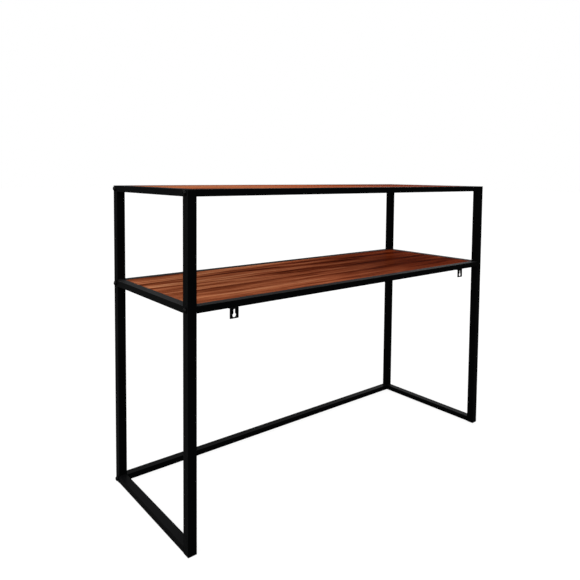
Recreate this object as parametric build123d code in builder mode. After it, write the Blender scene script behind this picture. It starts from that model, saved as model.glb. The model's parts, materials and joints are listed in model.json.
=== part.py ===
# Two-tier console table: black square-tube end frames, five long rails, two inset
# wood-grain boards, bolted together for flat-pack assembly.
# Frame: X along the length, -Y is the front, +Z up, origin on the floor under the centre.
import os

from build123d import *

os.makedirs("parts", exist_ok=True)

# ---------------------------------------------------------------- driving dimensions, mm
LENGTH = 1100.0        # outer face to outer face of the end frames
DEPTH = 400.0          # front face to rear face of the posts
HEIGHT = 800.0         # floor to top
SHELF_TOP = 550.0      # floor to the top of the lower shelf's rails

POST = 22.0            # square post, side
POST_R = 1.0           # outer corner radius of the post tube
RAIL_W = 22.0          # rail, seen from above
RAIL_H = 16.0          # rail, upright
RAIL_R = 0.9           # outer corner radius of the rail tube
FLOOR_GAP = 1.0        # the lowest rails stand this far off the floor
WALL = 1.2             # tube wall

CAP_T = 3.0            # flange of a post's end cap
CAP_FINGER = 9.0       # depth of the cap's snap fingers
CAP_FINGER_T = 1.8

BOARD_T = 12.0         # board thickness
BOARD_GAP = 0.4        # gap between a board and its rails
BOARD_DROP = 0.5       # board's top below the rails' top
TAB_T = 2.0            # board support tab
TAB_OUT = 22.0
TAB_WIDE = 26.0

BOLT_R = 2.95          # M6 shank, in a 6 mm thread drawn as a plain bore
BOLT_HOLE_R = 3.25
BOLT_HEAD_R = 6.0
BOLT_HEAD_T = 4.0
WASHER_R = 7.0
WASHER_T = 1.2
NUT_L = 15.0           # threaded plug in a rail's end
NUT_BORE_R = 3.0

KEY_X = 432.5          # centre of each keyhole bracket, from the middle
KEY_WIDE = 23.0
KEY_DROP = 25.0        # below the rail's underside
KEY_T = 2.0
KEY_HOLE_R = 5.0
KEY_SLOT_W = 5.0

# ---------------------------------------------------------------- derived
POST_X = LENGTH / 2 - POST / 2
POST_Y = DEPTH / 2 - POST / 2
INNER_X = LENGTH / 2 - POST
INNER_Y = DEPTH / 2 - POST
TOP_RAIL_Z = HEIGHT - RAIL_H / 2
SHELF_RAIL_Z = SHELF_TOP - RAIL_H / 2
FLOOR_RAIL_Z = FLOOR_GAP + RAIL_H / 2
FRONT, REAR = -POST_Y, POST_Y
# the five bolts of one end: (y, z)
BOLTS = [(FRONT, TOP_RAIL_Z), (REAR, TOP_RAIL_Z), (FRONT, SHELF_RAIL_Z),
         (REAR, SHELF_RAIL_Z), (REAR, FLOOR_RAIL_Z)]


def write(part, name):
    part.label = name
    export_step(part, f"parts/{name}.step")


# ---------------------------------------------------------------- posts
# Square tubes, full height between their end caps, drilled crosswise for the rail bolts.
def make_post(name, x, y):
    with BuildPart() as post:
        with BuildSketch(Plane.XY.offset(CAP_T)):
            with Locations((x, y)):
                RectangleRounded(POST, POST, POST_R)
                RectangleRounded(POST - 2 * WALL, POST - 2 * WALL, 0.5, mode=Mode.SUBTRACT)
        extrude(amount=HEIGHT - 2 * CAP_T)
        with BuildSketch(Plane.YZ.offset(x - POST)):
            with Locations(*[b for b in BOLTS if b[0] == y]):
                Circle(BOLT_HOLE_R)
        extrude(amount=2 * POST, mode=Mode.SUBTRACT)
    write(post.part, name)


make_post("left_front_post", -POST_X, FRONT)
make_post("left_rear_post", -POST_X, REAR)
make_post("right_front_post", POST_X, FRONT)
make_post("right_rear_post", POST_X, REAR)


# ---------------------------------------------------------------- post end caps
# A flange as wide as the tube and two snap fingers on the front and rear walls,
# which leave the bolt's way free.
def make_cap(name, x, y, top):
    z = HEIGHT if top else 0.0
    into = -1 if top else 1
    with BuildPart() as cap:
        with BuildSketch(Plane.XY.offset(z)):
            with Locations((x, y)):
                RectangleRounded(POST, POST, POST_R)
        extrude(amount=into * CAP_T)
        outer = cap.faces().sort_by(Axis.Z)[-1 if top else 0]
        fillet(outer.edges(), radius=0.8)
        with BuildSketch(Plane.XY.offset(z + into * CAP_T)):
            for side in (-1, 1):
                with Locations((x, y + side * (POST / 2 - WALL - 0.15 - CAP_FINGER_T / 2))):
                    Rectangle(POST - 2 * WALL - 2.0, CAP_FINGER_T)
        extrude(amount=into * CAP_FINGER)
    write(cap.part, name)


for side, sx in (("left", -1), ("right", 1)):
    for depth, y in (("front", FRONT), ("rear", REAR)):
        make_cap(f"{side}_{depth}_top_cap", sx * POST_X, y, True)
        make_cap(f"{side}_{depth}_foot_cap", sx * POST_X, y, False)


# ---------------------------------------------------------------- end frame rails
# Flat tubes between the two posts of one end, welded to them.
def make_side_rail(name, x, z):
    with BuildPart() as rail:
        with BuildSketch(Plane.XZ):
            with Locations((x, z)):
                RectangleRounded(RAIL_W, RAIL_H, RAIL_R)
                RectangleRounded(RAIL_W - 2 * WALL, RAIL_H - 2 * WALL, 0.4, mode=Mode.SUBTRACT)
        extrude(amount=INNER_Y, both=True)
    write(rail.part, name)


for side, sx in (("left", -1), ("right", 1)):
    make_side_rail(f"{side}_top_rail", sx * POST_X, TOP_RAIL_Z)
    make_side_rail(f"{side}_shelf_rail", sx * POST_X, SHELF_RAIL_Z)
    make_side_rail(f"{side}_floor_rail", sx * POST_X, FLOOR_RAIL_Z)


# ---------------------------------------------------------------- long rails
# Flat tubes between the end frames, each held by one bolt at each end.
def make_long_rail(name, y, z):
    with BuildPart() as rail:
        with BuildSketch(Plane.YZ):
            with Locations((y, z)):
                RectangleRounded(RAIL_W, RAIL_H, RAIL_R)
                RectangleRounded(RAIL_W - 2 * WALL, RAIL_H - 2 * WALL, 0.4, mode=Mode.SUBTRACT)
        extrude(amount=INNER_X, both=True)
    write(rail.part, name)


make_long_rail("top_front_rail", FRONT, TOP_RAIL_Z)
make_long_rail("top_rear_rail", REAR, TOP_RAIL_Z)
make_long_rail("shelf_front_rail", FRONT, SHELF_RAIL_Z)
make_long_rail("shelf_rear_rail", REAR, SHELF_RAIL_Z)
make_long_rail("floor_rear_stretcher", REAR, FLOOR_RAIL_Z)


# ---------------------------------------------------------------- bolts, washers, plug nuts
# One set at each end: dome-head socket bolts through the posts into threaded plugs.
for side, sx in (("left", -1), ("right", 1)):
    # looks outward, with local x along Y or -Y and local y along Z
    out = Plane(origin=(sx * LENGTH / 2, 0, 0), x_dir=(0, sx, 0), z_dir=(sx, 0, 0))
    spots = [(sx * y, z) for y, z in BOLTS]

    with BuildPart() as washers:
        with BuildSketch(out):
            with Locations(*spots):
                Circle(WASHER_R)
                Circle(BOLT_HOLE_R, mode=Mode.SUBTRACT)
        extrude(amount=WASHER_T)
    write(washers.part, f"{side}_bolt_washers")

    with BuildPart() as bolts:
        with BuildSketch(out.offset(WASHER_T)):
            with Locations(*spots):
                Circle(BOLT_HEAD_R)
        extrude(amount=BOLT_HEAD_T)
        crown = bolts.faces().filter_by(GeomType.PLANE).group_by(Axis.X)[0 if sx < 0 else -1]
        fillet(crown.edges(), radius=3.4)
        with BuildSketch(out.offset(WASHER_T)):
            with Locations(*spots):
                Circle(BOLT_R)
        extrude(amount=-(WASHER_T + POST + NUT_L - 1.0))
        with BuildSketch(out.offset(WASHER_T + BOLT_HEAD_T)):
            with Locations(*spots):
                RegularPolygon(2.3, 6)
        extrude(amount=-2.4, mode=Mode.SUBTRACT)
    write(bolts.part, f"{side}_frame_bolts")

    with BuildPart() as nuts:
        with BuildSketch(out.offset(-POST)):
            with Locations(*spots):
                RectangleRounded(RAIL_W - 2 * WALL - 0.2, RAIL_H - 2 * WALL - 0.2, 0.8)
                Circle(NUT_BORE_R, mode=Mode.SUBTRACT)
        extrude(amount=-NUT_L)
    write(nuts.part, f"{side}_rail_plug_nuts")


# ---------------------------------------------------------------- boards and what holds them
# Support tabs stand inside the rails, under the board; a screw goes up through each.
TAB_MID_Y = INNER_Y - TAB_OUT / 2
TAB_MID_X = INNER_X - TAB_OUT / 2
LONG_SPOTS = [(x, s * TAB_MID_Y) for x in (-390.0, 0.0, 390.0) for s in (-1, 1)]
SHORT_SPOTS = [(s * TAB_MID_X, 0.0) for s in (-1, 1)]

for tier, top in (("top", HEIGHT), ("shelf", SHELF_TOP)):
    board_top = top - BOARD_DROP
    board_low = board_top - BOARD_T

    with BuildPart() as board:
        with BuildSketch(Plane.XY.offset(board_low)):
            RectangleRounded(2 * (INNER_X - BOARD_GAP), 2 * (INNER_Y - BOARD_GAP), 1.0)
        extrude(amount=BOARD_T)
        fillet(board.faces().sort_by(Axis.Z)[-1].edges(), radius=0.5)
        # pilot holes in the underside
        with BuildSketch(Plane.XY.offset(board_low)):
            with Locations(*LONG_SPOTS, *SHORT_SPOTS):
                Circle(1.75)
        extrude(amount=9.0, mode=Mode.SUBTRACT)
    write(board.part, f"{tier}_board")

    with BuildPart() as tabs:
        with BuildSketch(Plane.XY.offset(board_low - TAB_T)):
            with Locations(*LONG_SPOTS):
                Rectangle(TAB_WIDE, TAB_OUT)
            with Locations(*SHORT_SPOTS):
                Rectangle(TAB_OUT, TAB_WIDE)
            with Locations(*LONG_SPOTS, *SHORT_SPOTS):
                Circle(2.25, mode=Mode.SUBTRACT)
        extrude(amount=TAB_T)
    write(tabs.part, f"{tier}_board_tabs")

    with BuildPart() as screws:
        with BuildSketch(Plane.XY.offset(board_low - TAB_T)):
            with Locations(*LONG_SPOTS, *SHORT_SPOTS):
                Circle(3.6)
        extrude(amount=-2.4)
        heads = screws.faces().filter_by(GeomType.PLANE).group_by(Axis.Z)[0]
        fillet(heads.edges(), radius=1.4)
        with BuildSketch(Plane.XY.offset(board_low - TAB_T)):
            with Locations(*LONG_SPOTS, *SHORT_SPOTS):
                Circle(1.65)
        extrude(amount=TAB_T + 8.5)
        with BuildSketch(Plane.XY.offset(board_low - TAB_T - 2.4)):
            with Locations(*LONG_SPOTS, *SHORT_SPOTS):
                Rectangle(3.4, 0.8)
                Rectangle(0.8, 3.4)
        extrude(amount=1.4, mode=Mode.SUBTRACT)
    write(screws.part, f"{tier}_board_screws")


# ---------------------------------------------------------------- keyhole brackets
# Bent plates under the lower shelf's front rail. The flange lies against the underside,
# the leg hangs in the plane of the rail's front face and holds a keyhole.
UNDER = SHELF_TOP - RAIL_H
LEG_Y = -DEPTH / 2
for side, sx in (("left", -1), ("right", 1)):
    with BuildPart() as bracket:
        with BuildSketch(Plane.YZ.offset(sx * KEY_X)):
            with BuildLine():
                Polyline((LEG_Y, UNDER), (LEG_Y + 17.0, UNDER), (LEG_Y + 17.0, UNDER - KEY_T),
                         (LEG_Y + KEY_T, UNDER - KEY_T), (LEG_Y + KEY_T, UNDER - KEY_DROP),
                         (LEG_Y, UNDER - KEY_DROP), close=True)
            make_face()
        extrude(amount=KEY_WIDE / 2, both=True)
        bend = bracket.edges().filter_by(Axis.X)
        fillet(bend.sort_by_distance((sx * KEY_X, LEG_Y, UNDER))[0], radius=1.6)
        fillet(bracket.edges().filter_by(Axis.X).sort_by_distance(
            (sx * KEY_X, LEG_Y + KEY_T, UNDER - KEY_T))[0], radius=0.6)
        corners = bracket.edges().filter_by(Axis.Y).group_by(Axis.Z)[0]
        fillet(corners, radius=1.0)
        with BuildSketch(Plane.XZ.offset(-LEG_Y + 1.0)):
            with Locations((sx * KEY_X, UNDER - KEY_DROP + 7.5)):
                Circle(KEY_HOLE_R)
            with Locations((sx * KEY_X, UNDER - KEY_DROP + 7.5 + 5.75)):
                SlotOverall(11.5 + KEY_SLOT_W, KEY_SLOT_W, rotation=90)
        extrude(amount=-(KEY_T + 2.0), mode=Mode.SUBTRACT)
    write(bracket.part, f"{side}_keyhole_bracket")
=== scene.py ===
import json
import math

import bmesh
import bpy
from mathutils import Matrix, Vector, noise


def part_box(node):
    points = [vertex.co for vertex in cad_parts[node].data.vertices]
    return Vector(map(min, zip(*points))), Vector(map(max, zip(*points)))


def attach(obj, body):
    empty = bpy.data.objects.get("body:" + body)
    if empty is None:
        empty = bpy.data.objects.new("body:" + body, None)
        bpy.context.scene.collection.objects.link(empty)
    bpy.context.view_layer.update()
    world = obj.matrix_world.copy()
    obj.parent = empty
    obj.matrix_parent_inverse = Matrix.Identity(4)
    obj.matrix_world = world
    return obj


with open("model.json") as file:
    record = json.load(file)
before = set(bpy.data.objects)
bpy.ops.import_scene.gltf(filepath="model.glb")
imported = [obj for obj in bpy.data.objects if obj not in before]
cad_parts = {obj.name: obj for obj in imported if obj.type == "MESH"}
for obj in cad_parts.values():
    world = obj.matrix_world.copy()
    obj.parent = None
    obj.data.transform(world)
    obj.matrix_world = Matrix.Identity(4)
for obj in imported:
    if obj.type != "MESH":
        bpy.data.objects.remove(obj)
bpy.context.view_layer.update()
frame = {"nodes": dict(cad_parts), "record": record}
nodes = frame["nodes"]
slot_of = {s["node"]: s["material_slot"] for s in frame["record"]["subparts"]}
scene = bpy.context.scene


# ------------------------------------------------------------------ node helpers
class Tree:
    """A material's node tree with short calls for the few node kinds used here."""

    def __init__(self, name):
        self.mat = bpy.data.materials.new(name)
        self.mat.use_nodes = True
        self.t = self.mat.node_tree
        self.t.nodes.clear()
        self.out = self.add("ShaderNodeOutputMaterial")
        self.bsdf = self.add("ShaderNodeBsdfPrincipled")
        self.link(self.bsdf.outputs["BSDF"], self.out.inputs["Surface"])
        self.object = self.add("ShaderNodeTexCoord").outputs["Object"]

    def add(self, kind, **attrs):
        n = self.t.nodes.new(kind)
        for k, v in attrs.items():
            setattr(n, k, v)
        return n

    def link(self, a, b):
        self.t.links.new(a, b)

    def put(self, socket, value):
        if hasattr(value, "is_output"):
            self.link(value, socket)
        else:
            socket.default_value = value

    def stretch(self, scale, vector=None):
        """Object coordinates times (x, y, z)."""
        n = self.add("ShaderNodeVectorMath", operation="MULTIPLY")
        self.put(n.inputs[0], vector or self.object)
        n.inputs[1].default_value = scale
        return n.outputs["Vector"]

    def noise(self, vector, scale=1.0, detail=4.0, rough=0.55, distort=0.0):
        n = self.add("ShaderNodeTexNoise")
        self.put(n.inputs["Vector"], vector)
        n.inputs["Scale"].default_value = scale
        n.inputs["Detail"].default_value = detail
        n.inputs["Roughness"].default_value = rough
        n.inputs["Distortion"].default_value = distort
        return n.outputs["Fac"]

    def math(self, op, a, b=0.0, c=0.0, clamp=False):
        n = self.add("ShaderNodeMath", operation=op, use_clamp=clamp)
        for i, v in enumerate((a, b, c)):
            if i < len(n.inputs):
                self.put(n.inputs[i], v)
        return n.outputs[0]

    def spread(self, value, lo, hi, to_lo=0.0, to_hi=1.0, smooth=False):
        n = self.add("ShaderNodeMapRange", interpolation_type="SMOOTHSTEP" if smooth else "LINEAR")
        n.clamp = True
        self.put(n.inputs["Value"], value)
        n.inputs["From Min"].default_value = lo
        n.inputs["From Max"].default_value = hi
        n.inputs["To Min"].default_value = to_lo
        n.inputs["To Max"].default_value = to_hi
        return n.outputs["Result"]

    def ramp(self, value, stops):
        n = self.add("ShaderNodeValToRGB")
        r = n.color_ramp
        while len(r.elements) < len(stops):
            r.elements.new(0.5)
        for e, (pos, col) in zip(r.elements, stops):
            e.position = pos
            e.color = (*col, 1.0)
        self.put(n.inputs["Fac"], value)
        return n.outputs["Color"]

    def mix(self, fac, a, b, blend="MIX"):
        n = self.add("ShaderNodeMix", data_type="RGBA", blend_type=blend)
        self.put(n.inputs["Factor"], fac)
        self.put(n.inputs[6], a if hasattr(a, "is_output") else (*a, 1.0))
        self.put(n.inputs[7], b if hasattr(b, "is_output") else (*b, 1.0))
        return n.outputs[2]

    def bump(self, height, strength, distance, normal=None):
        n = self.add("ShaderNodeBump")
        n.inputs["Strength"].default_value = strength
        n.inputs["Distance"].default_value = distance
        self.put(n.inputs["Height"], height)
        if normal is not None:
            self.link(normal, n.inputs["Normal"])
        return n.outputs["Normal"]

    def edges(self, radius):
        """1 on convex edges within radius, 0 on flats."""
        b = self.add("ShaderNodeBevel", samples=6)
        b.inputs["Radius"].default_value = radius
        g = self.add("ShaderNodeNewGeometry")
        d = self.add("ShaderNodeVectorMath", operation="DOT_PRODUCT")
        self.link(b.outputs["Normal"], d.inputs[0])
        self.link(g.outputs["Normal"], d.inputs[1])
        return self.spread(d.outputs["Value"], 0.995, 0.90)

    def axes(self, socket):
        n = self.add("ShaderNodeSeparateXYZ")
        self.link(socket, n.inputs[0])
        return n.outputs


# ------------------------------------------------------------------ materials
def powder_coat(name):
    """Satin black powder coat: orange peel, a slow drift in tone and gloss, rubbed edges, upper faces greyed by dust
    and by painted top light.
    """
    t = Tree(name)
    peel = t.noise(t.stretch((620, 620, 620)), 1.0, 2.0, 0.5)
    fine = t.noise(t.stretch((2600, 2600, 2600)), 1.0, 1.0, 0.5)
    slow = t.noise(t.stretch((9, 9, 9)), 1.0, 3.0, 0.6)
    dust = t.noise(t.stretch((55, 55, 55)), 1.0, 5.0, 0.65)
    base = t.mix(t.spread(slow, 0.3, 0.7), (0.0008, 0.0010, 0.0012), (0.0018, 0.0020, 0.0023))
    worn = t.math("MULTIPLY", t.edges(0.0011), t.spread(dust, 0.50, 0.68))
    base = t.mix(t.math("MULTIPLY", worn, 0.40), base, (0.0100, 0.0105, 0.0110))
    base = t.mix(t.spread(fine, 0.66, 0.80, 0.0, 0.35), base, (0.0052, 0.0056, 0.0061))
    # painted top light: upward faces are made lighter grey, partly dust and partly light from above painted into the
    # colour
    dust_and_top_light = t.spread(t.axes(t.add("ShaderNodeNewGeometry").outputs["Normal"])["Z"], 0.55, 0.97, smooth=True)
    dust_and_top_light = t.math("MULTIPLY", dust_and_top_light, t.spread(dust, 0.30, 0.66, 0.55, 1.0))
    # the dust and painted top light fade out low down, so the tops of the floor rails stay blacker
    dust_and_top_light = t.math("MULTIPLY", dust_and_top_light, t.spread(t.axes(t.object)["Z"], 0.10, 0.45, 0.12, 1.0))
    base = t.mix(dust_and_top_light, base, (0.0300, 0.0305, 0.0325))
    t.put(t.bsdf.inputs["Base Color"], base)
    rough = t.math("MULTIPLY_ADD", dust, 0.16, 0.34)
    rough = t.math("MULTIPLY_ADD", dust_and_top_light, 0.10, rough)
    rough = t.math("MULTIPLY_ADD", worn, -0.08, rough)
    t.put(t.bsdf.inputs["Roughness"], rough)
    t.bsdf.inputs["Specular IOR Level"].default_value = 0.04
    n = t.bump(peel, 0.22, 0.00012)
    n = t.bump(fine, 0.10, 0.00004, n)
    t.put(t.bsdf.inputs["Normal"], n)
    return t.mat


def wood_board(name):
    """Satin red-brown wood grain, along the length; plainer on the underside and edges."""
    t = Tree(name)
    ax = t.axes(t.object)
    # the grain wanders a little to each side as it runs along the board
    wander = t.noise(t.stretch((1.3, 3.0, 9.0)), 1.0, 1.0, 0.5)
    bent = t.add("ShaderNodeCombineXYZ")
    t.put(bent.inputs["X"], ax["X"])
    t.put(bent.inputs["Y"], t.math("MULTIPLY_ADD", t.math("SUBTRACT", wander, 0.5), 0.055, ax["Y"]))
    t.put(bent.inputs["Z"], ax["Z"])
    run = bent.outputs["Vector"]
    figure = t.noise(t.stretch((1.4, 10.0, 9.0), run), 1.0, 3.0, 0.55, 0.7)
    rings = t.math("SINE", t.math("MULTIPLY_ADD", figure, 26.0, t.math("MULTIPLY", ax["Y"], 70.0)))
    rings = t.math("MULTIPLY_ADD", rings, 0.5, 0.5)
    bands = t.spread(t.noise(t.stretch((1.9, 27.0, 9.0), run), 1.0, 4.0, 0.62, 0.35), 0.33, 0.67)
    streak = t.noise(t.stretch((3.4, 95.0, 9.0), run), 1.0, 6.0, 0.64, 0.25)
    fibre = t.noise(t.stretch((16.0, 640.0, 60.0), run), 1.0, 3.0, 0.6)
    pores = t.noise(t.stretch((70.0, 2100.0, 300.0), run), 1.0, 2.0, 0.5)
    patch = t.noise(t.stretch((2.6, 7.0, 9.0)), 1.0, 2.0, 0.5)
    v = t.math("MULTIPLY", bands, 0.40)
    v = t.math("MULTIPLY_ADD", t.spread(streak, 0.32, 0.68), 0.34, v)
    v = t.math("MULTIPLY_ADD", rings, 0.10, v)
    v = t.math("MULTIPLY_ADD", t.spread(fibre, 0.30, 0.70), 0.10, v)
    v = t.math("MULTIPLY_ADD", patch, 0.16, v)
    v = t.spread(v, 0.25, 0.81)
    colour = t.ramp(v, [(0.0, (0.055, 0.0100, 0.0038)), (0.25, (0.185, 0.0400, 0.0145)),
                        (0.52, (0.395, 0.1120, 0.0455)), (0.78, (0.560, 0.1950, 0.0860)),
                        (1.0, (0.680, 0.3000, 0.1480))])
    # thin dark-red lines between the lighter streaks
    lines = t.noise(t.stretch((2.6, 62.0, 9.0), run), 1.0, 5.0, 0.66, 0.3)
    colour = t.mix(t.spread(lines, 0.55, 0.66, 0.0, 0.62), colour, (0.120, 0.0200, 0.0066))
    # painted shade: the wood turns redder towards the right end, standing in for light falling off there
    painted_red_falloff = t.spread(ax["X"], -0.42, 0.05, 0.0, 1.0, smooth=True)
    colour = t.mix(painted_red_falloff, colour, t.mix(1.0, colour, (1.10, 0.92, 0.90), "MULTIPLY"))
    dark = t.spread(pores, 0.60, 0.74, 0.0, 0.55)
    colour = t.mix(dark, colour, (0.030, 0.0085, 0.0040))
    # painted shade: darker towards the right end, standing in for light falling off to the right
    painted_falloff = t.spread(ax["X"], -0.10, 0.40, 0.0, 0.92, smooth=True)
    colour = t.mix(painted_falloff, colour, t.mix(1.0, colour, (0.42, 0.20, 0.10), "MULTIPLY"))
    g = t.axes(t.add("ShaderNodeNewGeometry").outputs["Normal"])
    under = t.spread(g["Z"], -0.4, -0.7)
    rim = t.spread(t.math("ABSOLUTE", g["Z"]), 0.75, 0.45)
    colour = t.mix(t.math("MULTIPLY", under, 0.55), colour, (0.085, 0.034, 0.018))
    colour = t.mix(t.math("MULTIPLY", rim, 0.70), colour, (0.045, 0.0150, 0.0080))
    t.put(t.bsdf.inputs["Base Color"], colour)
    rough = t.math("MULTIPLY_ADD", streak, 0.18, 0.34)
    rough = t.math("MULTIPLY_ADD", dark, 0.20, rough)
    t.put(t.bsdf.inputs["Roughness"], rough)
    t.bsdf.inputs["Specular IOR Level"].default_value = 0.0001
    height = t.math("MULTIPLY_ADD", fibre, 0.5, t.math("MULTIPLY", dark, -0.8))
    t.put(t.bsdf.inputs["Normal"], t.bump(height, 0.30, 0.00016))
    return t.mat


def cap_plastic(name):
    """Moulded black plastic with a fine spark texture."""
    t = Tree(name)
    grain = t.noise(t.stretch((1500, 1500, 1500)), 1.0, 3.0, 0.6)
    slow = t.noise(t.stretch((70, 70, 70)), 1.0, 3.0, 0.6)
    scuff = t.noise(t.stretch((260, 900, 260)), 1.0, 4.0, 0.7)
    base = t.mix(t.spread(slow, 0.3, 0.7), (0.0016, 0.0017, 0.0019), (0.0030, 0.0031, 0.0033))
    rub = t.math("MULTIPLY", t.edges(0.0009), t.spread(scuff, 0.45, 0.70))
    base = t.mix(t.math("MULTIPLY", rub, 0.6), base, (0.012, 0.012, 0.0125))
    # painted top light: upward faces are made lighter grey, partly scuffing and dust and partly light from above
    # painted into the colour
    dust_and_top_light = t.spread(t.axes(t.add("ShaderNodeNewGeometry").outputs["Normal"])["Z"], 0.55, 0.97, smooth=True)
    base = t.mix(t.math("MULTIPLY", dust_and_top_light, t.spread(scuff, 0.35, 0.65, 0.45, 0.9)), base, (0.0270, 0.0272, 0.0282))
    t.put(t.bsdf.inputs["Base Color"], base)
    t.put(t.bsdf.inputs["Roughness"], t.math("MULTIPLY_ADD", slow, 0.18, 0.46))
    t.bsdf.inputs["Specular IOR Level"].default_value = 0.06
    t.put(t.bsdf.inputs["Normal"], t.bump(grain, 0.22, 0.00008))
    return t.mat


def bolt_black(name):
    """Black-plated steel, a little glossier than the coat, with bright steel at rubbed edges."""
    t = Tree(name)
    turn = t.noise(t.stretch((2400, 420, 420)), 1.0, 2.0, 0.5)
    blot = t.noise(t.stretch((160, 160, 160)), 1.0, 4.0, 0.65)
    base = t.mix(t.spread(blot, 0.35, 0.7), (0.0010, 0.0011, 0.0012), (0.0026, 0.0027, 0.0029))
    rub = t.math("MULTIPLY", t.edges(0.0006), t.spread(blot, 0.46, 0.66))
    base = t.mix(t.math("MULTIPLY", rub, 0.6), base, (0.0085, 0.0085, 0.0085))
    t.put(t.bsdf.inputs["Base Color"], base)
    t.put(t.bsdf.inputs["Roughness"], t.math("MULTIPLY_ADD", blot, 0.20, 0.22))
    t.bsdf.inputs["Specular IOR Level"].default_value = 0.08
    t.put(t.bsdf.inputs["Normal"], t.bump(turn, 0.12, 0.00005))
    return t.mat


def zinc_steel(name):
    """Zinc-plated steel: faint spangle, a yellowish drift and tumbling marks."""
    t = Tree(name)
    spangle = t.noise(t.stretch((420, 420, 420)), 1.0, 3.0, 0.6)
    drift = t.noise(t.stretch((70, 70, 70)), 1.0, 2.0, 0.5)
    marks = t.noise(t.stretch((300, 1800, 900)), 1.0, 3.0, 0.6)
    base = t.mix(spangle, (0.44, 0.45, 0.45), (0.62, 0.63, 0.62))
    base = t.mix(t.spread(drift, 0.45, 0.75, 0.0, 0.5), base, (0.56, 0.52, 0.42))
    t.put(t.bsdf.inputs["Base Color"], base)
    t.bsdf.inputs["Metallic"].default_value = 1.0
    t.put(t.bsdf.inputs["Roughness"], t.math("MULTIPLY_ADD", marks, 0.25, 0.22))
    t.put(t.bsdf.inputs["Normal"], t.bump(marks, 0.15, 0.00005))
    return t.mat


finishes = {
    "frame_black": powder_coat("frame_black_coat"),
    "wood_board": wood_board("wood_board_grain"),
    "cap_plastic": cap_plastic("cap_moulded_plastic"),
    "bolt_black": bolt_black("bolt_black_plating"),
    "zinc_steel": zinc_steel("zinc_plating"),
}
for name, obj in nodes.items():
    for s in obj.material_slots:
        s.material = finishes[slot_of[name]]


# ------------------------------------------------------------------ weld beads and edge bands
def bead(bm, start, end, side_a, side_b, leg, seed, sink=0.35):
    """A rippled fillet weld from start to end, in the corner between directions side_a and side_b."""
    run = end - start
    steps = max(14, int(run.length / 0.00045))
    loops = []
    for i in range(steps + 1):
        u = i / steps
        p = start + run * u
        # stacked-coin ripple, uneven from one bead to the next, drawn in at both ends
        ripple = 1.0 + 0.13 * abs(math.sin(math.pi * u * run.length / 0.0019 + seed))
        ripple += 0.14 * noise.noise(Vector((u * 3.1, seed * 7.7, 0.3)))
        ends = min(1.0, 0.45 + 3.2 * min(u, 1 - u) * run.length / 0.006)
        r = leg * ripple * ends
        ring = [p - (side_a + side_b) * r * sink]
        for k in range(9):
            a = math.pi / 2 * k / 8
            # a flattened quarter round between the two legs
            c, s = math.cos(a), math.sin(a)
            f = 1.0 / (c + s) ** 0.72
            ring.append(p + side_a * (c * f * r) + side_b * (s * f * r))
        loops.append([bm.verts.new(q) for q in ring])
    n = len(loops[0])
    for a, b in zip(loops, loops[1:]):
        for k in range(n):
            bm.faces.new((a[k], a[(k + 1) % n], b[(k + 1) % n], b[k]))
    bm.faces.new(list(reversed(loops[0])))
    bm.faces.new(loops[-1])


def seam(bm, low, high, out, across, seed, half=0.0016, proud=0.00028, deep=0.0012):
    """A dressed butt weld that fills the groove along a flush joint, from low to high."""
    run = high - low
    steps = max(12, int(run.length / 0.0006))
    loops = []
    for i in range(steps + 1):
        u = i / steps
        p = low + run * u
        w = half * (1.0 + 0.16 * noise.noise(Vector((u * 5.3, seed * 3.9, 1.7))))
        h = proud * (1.0 + 0.45 * noise.noise(Vector((u * 7.1, seed * 5.1, 4.2))))
        ends = min(1.0, 0.35 + 6.0 * min(u, 1 - u))
        ring = []
        for k in range(9):
            a = math.pi * k / 8
            ring.append(p + across * (math.cos(a) * w) + out * (math.sin(a) * h * ends))
        ring.append(p - across * (w * 0.5) - out * deep)
        ring.append(p + across * (w * 0.5) - out * deep)
        loops.append([bm.verts.new(q) for q in ring])
    n = len(loops[0])
    for a, b in zip(loops, loops[1:]):
        for k in range(n):
            bm.faces.new((a[k], a[(k + 1) % n], b[(k + 1) % n], b[k]))
    bm.faces.new(list(reversed(loops[0])))
    bm.faces.new(loops[-1])


def edge_band(bm, lo, hi, thick, corner=0.001, bite=0.00015, ease=0.00012):
    """The thin closed band glued round a board's edge, up to where the board's own top edge is rounded."""
    low, high = lo.z + 0.0002, hi.z - 0.0006
    loops = []
    for grow, z in ((thick - ease, low), (thick, low + ease), (thick, high - ease), (thick - ease, high), (-bite, high), (-bite, low)):
        loop = []
        for sx, sy, start in ((1, 1, 0), (-1, 1, 90), (-1, -1, 180), (1, -1, 270)):
            cx = hi.x - corner if sx > 0 else lo.x + corner
            cy = hi.y - corner if sy > 0 else lo.y + corner
            for k in range(7):
                a = math.radians(start + 15 * k)
                loop.append(bm.verts.new((cx + (corner + grow) * math.cos(a), cy + (corner + grow) * math.sin(a), z)))
        loops.append(loop)
    n = len(loops[0])
    for a, b in zip(loops, loops[1:] + loops[:1]):
        for k in range(n):
            bm.faces.new((a[k], a[(k + 1) % n], b[(k + 1) % n], b[k]))


def make_piece(name, bm, slot, smooth=True):
    bmesh.ops.recalc_face_normals(bm, faces=bm.faces)
    mesh = bpy.data.meshes.new(name)
    bm.to_mesh(mesh)
    bm.free()
    for p in mesh.polygons:
        p.use_smooth = smooth
    mesh.materials.append(finishes[slot])
    obj = bpy.data.objects.new(name, mesh)
    scene.collection.objects.link(obj)
    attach(obj, "root")
    return obj


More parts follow.
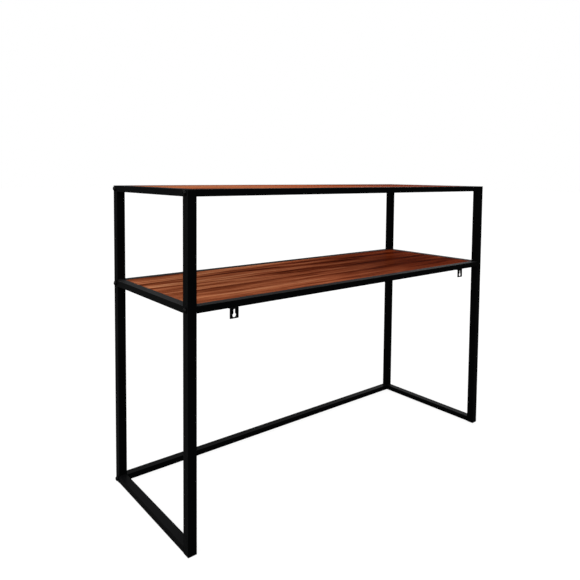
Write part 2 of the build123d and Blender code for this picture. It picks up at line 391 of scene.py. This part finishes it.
X, Y, Z = Vector((1, 0, 0)), Vector((0, 1, 0)), Vector((0, 0, 1))
for end, sx in (("left", -1), ("right", 1)):
    bm = bmesh.new()
    seed = 1.3 if sx < 0 else 4.1
    for rail, faces in (("top", (-1,)), ("shelf", (-1, 1)), ("floor", (1,))):
        lo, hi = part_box(f"{end}_{rail}_rail")
        x0, x1 = lo.x + 0.0018, hi.x - 0.0018
        for sy in (-1, 1):
            y = lo.y if sy < 0 else hi.y
            for sz in faces:
                seed += 1.7
                z = lo.z if sz < 0 else hi.z
                bead(bm, Vector((x0, y, z)), Vector((x1, y, z)), Y * -sy, Z * sz, 0.0026, seed)
            for out in (-1, 1):
                seed += 1.7
                x = lo.x if out < 0 else hi.x
                seam(bm, Vector((x, y + sy * 0.0005, lo.z + 0.0012)), Vector((x, y + sy * 0.0005, hi.z - 0.0012)), X * out, Y, seed)
    make_piece(f"{end}_frame_welds", bm, "frame_black")

    bm = bmesh.new()
    lo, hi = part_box(f"{end}_keyhole_bracket")
    bead(bm, Vector((lo.x + 0.003, hi.y, hi.z)), Vector((hi.x - 0.003, hi.y, hi.z)), Y, Z * -1, 0.0017, seed + 2.0)
    make_piece(f"{end}_bracket_weld", bm, "frame_black")

for tier in ("top", "shelf"):
    bm = bmesh.new()
    lo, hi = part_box(f"{tier}_board")
    edge_band(bm, lo, hi, 0.00034)
    make_piece(f"{tier}_board_edge_band", bm, "wood_board", smooth=False)


# ------------------------------------------------------------------ floor, light, camera
def floor_material():
    t = Tree("studio_floor")
    soft = t.noise(t.stretch((3, 3, 3)), 1.0, 4.0, 0.5)
    t.put(t.bsdf.inputs["Base Color"], t.mix(soft, (0.16, 0.16, 0.16), (0.18, 0.18, 0.18)))
    t.put(t.bsdf.inputs["Roughness"], t.spread(soft, 0.0, 1.0, 0.75, 0.85))
    t.bsdf.inputs["Specular IOR Level"].default_value = 0.1
    path = t.add("ShaderNodeLightPath")
    far = t.add("ShaderNodeVectorMath", operation="LENGTH")
    t.link(t.object, far.inputs[0])
    lift = t.spread(far.outputs["Value"], 0.8, 3.5, 0.89, 0.92, smooth=True)
    t.bsdf.inputs["Emission Color"].default_value = (1, 1, 1, 1)
    t.put(t.bsdf.inputs["Emission Strength"], t.math("MULTIPLY", path.outputs["Is Camera Ray"], lift))
    return t.mat


bm = bmesh.new()
bmesh.ops.create_grid(bm, x_segments=8, y_segments=8, size=30.0)
mesh = bpy.data.meshes.new("studio_floor")
bm.to_mesh(mesh)
bm.free()
mesh.materials.append(floor_material())
floor = bpy.data.objects.new("studio_floor", mesh)
floor.location.z = -0.0005
scene.collection.objects.link(floor)

world = bpy.data.worlds.new("studio")
scene.world = world
world.use_nodes = True
wt = world.node_tree
wt.nodes.clear()
w_out = wt.nodes.new("ShaderNodeOutputWorld")
w_mix = wt.nodes.new("ShaderNodeMixShader")
w_seen = wt.nodes.new("ShaderNodeBackground")
w_fill = wt.nodes.new("ShaderNodeBackground")
w_path = wt.nodes.new("ShaderNodeLightPath")
w_seen.inputs["Color"].default_value = (1, 1, 1, 1)
w_seen.inputs["Strength"].default_value = 1.0
w_fill.inputs["Color"].default_value = (1, 1, 1, 1)
w_dir = wt.nodes.new("ShaderNodeTexCoord")
w_axes = wt.nodes.new("ShaderNodeSeparateXYZ")
w_rise = wt.nodes.new("ShaderNodeMapRange")
w_rise.inputs["From Max"].default_value = 0.9
w_bend = wt.nodes.new("ShaderNodeMath")
w_bend.operation = "POWER"
w_bend.inputs[1].default_value = 1.6
w_gain = wt.nodes.new("ShaderNodeMath")
w_gain.operation = "MULTIPLY_ADD"
w_gain.inputs[1].default_value = 1.20
w_gain.inputs[2].default_value = 0.01
wt.links.new(w_dir.outputs["Generated"], w_axes.inputs[0])
wt.links.new(w_axes.outputs["Z"], w_rise.inputs["Value"])
wt.links.new(w_rise.outputs["Result"], w_bend.inputs[0])
wt.links.new(w_bend.outputs[0], w_gain.inputs[0])
wt.links.new(w_gain.outputs[0], w_fill.inputs["Strength"])
wt.links.new(w_path.outputs["Is Camera Ray"], w_mix.inputs["Fac"])
wt.links.new(w_fill.outputs["Background"], w_mix.inputs[1])
wt.links.new(w_seen.outputs["Background"], w_mix.inputs[2])
wt.links.new(w_mix.outputs["Shader"], w_out.inputs["Surface"])


def area(name, place, aim, size, watts, colour=(1, 1, 1), size_y=None, beam=180.0):
    light = bpy.data.lights.new(name, "AREA")
    light.shape = "RECTANGLE"
    light.size = size
    light.size_y = size_y or size
    light.energy = watts
    light.spread = math.radians(beam)
    light.color = colour
    obj = bpy.data.objects.new(name, light)
    obj.location = place
    obj.rotation_mode = "QUATERNION"
    obj.rotation_quaternion = (Vector(aim) - Vector(place)).to_track_quat("-Z", "Y")
    scene.collection.objects.link(obj)
    return obj


area("key_front_left", (-1.05, -1.55, 1.65), (-0.42, 0.0, 0.62), 0.7, 3.0, (1.0, 0.985, 0.96), beam=75.0)
area("side_left", (-2.5, 0.3, 1.15), (0.0, 0.05, 0.62), 3.0, 34.0, (1.0, 0.99, 0.97), size_y=1.7)
area("rear_right", (3.3, 1.55, 1.05), (0.5, -0.2, 0.55), 2.2, 8.0, (1.0, 1.0, 1.0), size_y=0.9)

scene.view_settings.view_transform = "Standard"
scene.view_settings.look = "None"

cam_data = bpy.data.cameras.new("photo_camera")
cam_data.sensor_width = 36.0
cam_data.lens = 34.7444
cam_data.shift_x = -0.0014
cam_data.shift_y = -0.1418
cam_data.dof.use_dof = False
cam_data.clip_end = 200.0
cam = bpy.data.objects.new("photo_camera", cam_data)
turn = Matrix(((0.775625, 0.029501, -0.630504), (-0.631128, 0.050664, -0.774022), (0.009110, 0.998280, 0.057915)))
cam.matrix_world = Matrix.Translation((-1.11940, -1.24008, 0.83086)) @ turn.to_4x4()
scene.collection.objects.link(cam)
scene.camera = cam
